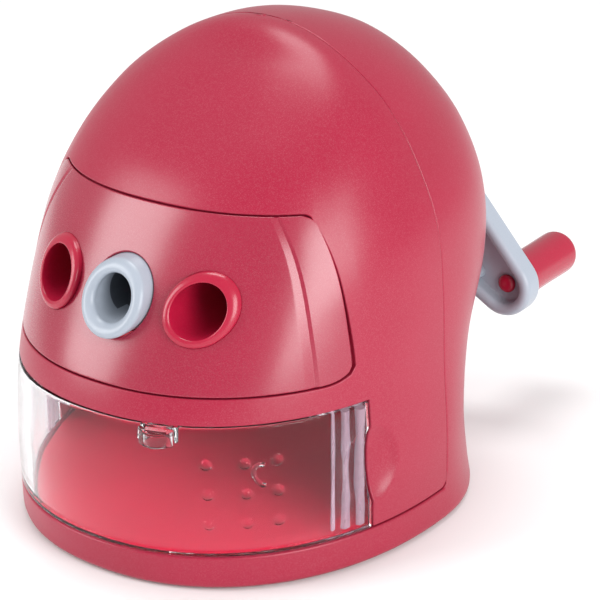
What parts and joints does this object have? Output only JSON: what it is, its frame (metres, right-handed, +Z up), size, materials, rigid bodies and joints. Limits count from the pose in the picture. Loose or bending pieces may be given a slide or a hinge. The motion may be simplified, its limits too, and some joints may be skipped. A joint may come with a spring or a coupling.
{
  "type": "crank pencil sharpener",
  "caption": "Dome-shaped desk pencil sharpener with a clear pull-out shavings drawer, a central pencil port between two pencil cups and a rear hand crank.",
  "frame": {"origin": "on the desk plane, below the line where the front and rear shells meet, in the middle of the width", "axes": "+Z up, -Y towards the front where the pencil goes in, +X to the right seen from the front"},
  "size_m": [0.0816, 0.1197, 0.0891],
  "materials": {
    "shell": "satin pearl plastic with a fine spark-eroded grain",
    "panel": "smooth satin pearl plastic",
    "inner_plastic": "smooth moulded plastic",
    "grey_plastic": "satin light blue-grey plastic",
    "dark_plastic": "black acetal",
    "mat": "matt rubber",
    "steel": "zinc-plated steel",
    "gear_steel": "hardened steel",
    "brass": "machined brass",
    "clear_plastic": "polished clear polystyrene"
  },
  "bodies": {
    "housing": {"rear_shell": "shell", "front_shell": "shell", "face_panel": "panel", "pencil_cup_left": "panel", "pencil_cup_right": "panel", "guide_ring": "grey_plastic", "chassis": "inner_plastic", "base_plate": "inner_plastic", "foot_mat": "mat", "base_screws": "steel", "shell_screws": "steel", "mech_frame": "dark_plastic", "frame_screws": "steel", "ring_gear": "gear_steel", "rear_bush": "brass"},
    "crank": {"carrier": "grey_plastic", "crank_axle": "steel", "axle_clip": "steel", "cutter_pin": "steel", "crank_arm": "grey_plastic", "arm_screw": "steel"},
    "cutter_unit": {"cutter": "gear_steel", "cutter_pinion": "brass"},
    "knob": {"crank_knob": "shell", "knob_pin": "panel"},
    "drawer_unit": {"drawer": "clear_plastic"}
  },
  "joints": [
    {"name": "crank_spin", "type": "hinge", "parent": "housing", "child": "crank", "pos_m": [0, 0.04, 0.0497], "axis": [0, 1, 0], "continuous": true},
    {"name": "cutter_spin", "type": "hinge", "parent": "crank", "child": "cutter_unit", "pos_m": [0, -0.0132, 0.0587], "axis": [0, 0.9799, -0.1994], "continuous": true},
    {"name": "knob_spin", "type": "hinge", "parent": "crank", "child": "knob", "pos_m": [0.0262, 0.058, 0.02803], "axis": [0, 1, 0], "continuous": true},
    {"name": "drawer_slide", "type": "slide", "parent": "housing", "child": "drawer_unit", "axis": [0, -1, 0], "range_m": [0, 0.05]}
  ],
  "couplings": [
    {"joint": "cutter_spin", "follows": "crank_spin", "ratio": -3}
  ]
}
